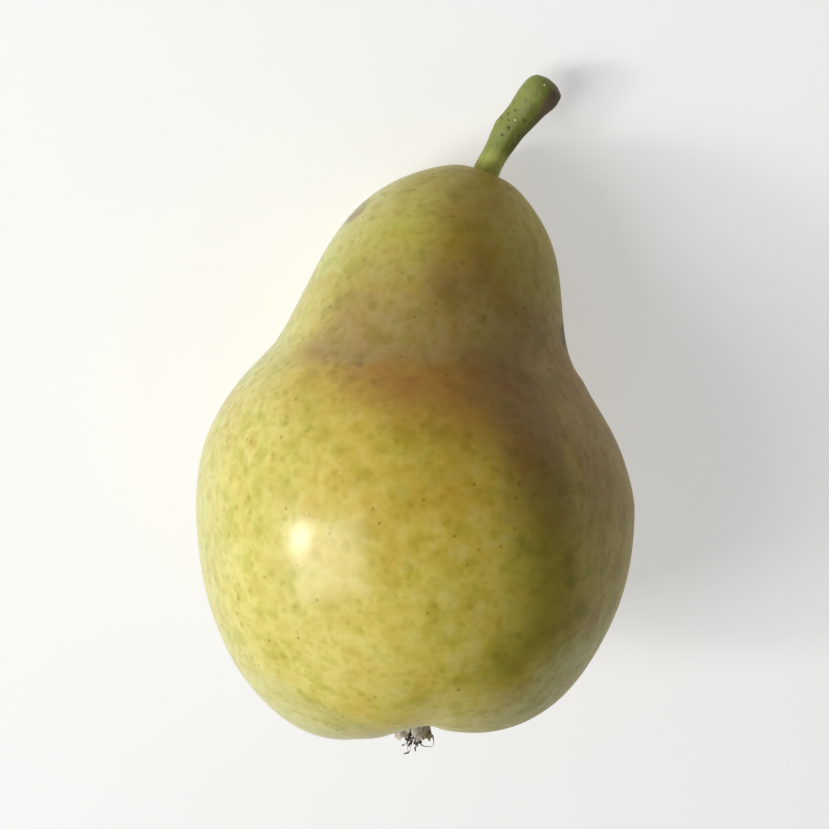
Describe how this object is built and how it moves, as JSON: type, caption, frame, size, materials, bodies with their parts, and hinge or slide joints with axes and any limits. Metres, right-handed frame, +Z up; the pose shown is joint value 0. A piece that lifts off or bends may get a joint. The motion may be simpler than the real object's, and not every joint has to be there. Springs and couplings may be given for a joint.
{
  "type": "pear",
  "caption": "Ripe pear lying on its side, with a full belly, a neck that leans over, a short knobbed woody stem and the dried flower in the hollow at its other end.",
  "frame": {"origin": "middle of the small flat under the belly, on the table that the pear lies on", "axes": "+Z up from the table, +Y level towards the stem end, +X to the side that the neck and the stem lean to"},
  "size_m": [0.0681, 0.0984, 0.0677],
  "materials": {
    "skin": "thin waxy fruit skin, yellow green with a brown blush and small dots",
    "stem_bark": "dull green bark with brown patches",
    "dried_leaf": "dry, papery, grey beige with brown spots",
    "dried_thread": "dry dark brown threads"
  },
  "bodies": {
    "root": {"fruit": "skin", "stem": "stem_bark", "sepals": "dried_leaf", "stamens": "dried_thread"}
  },
  "joints": []
}
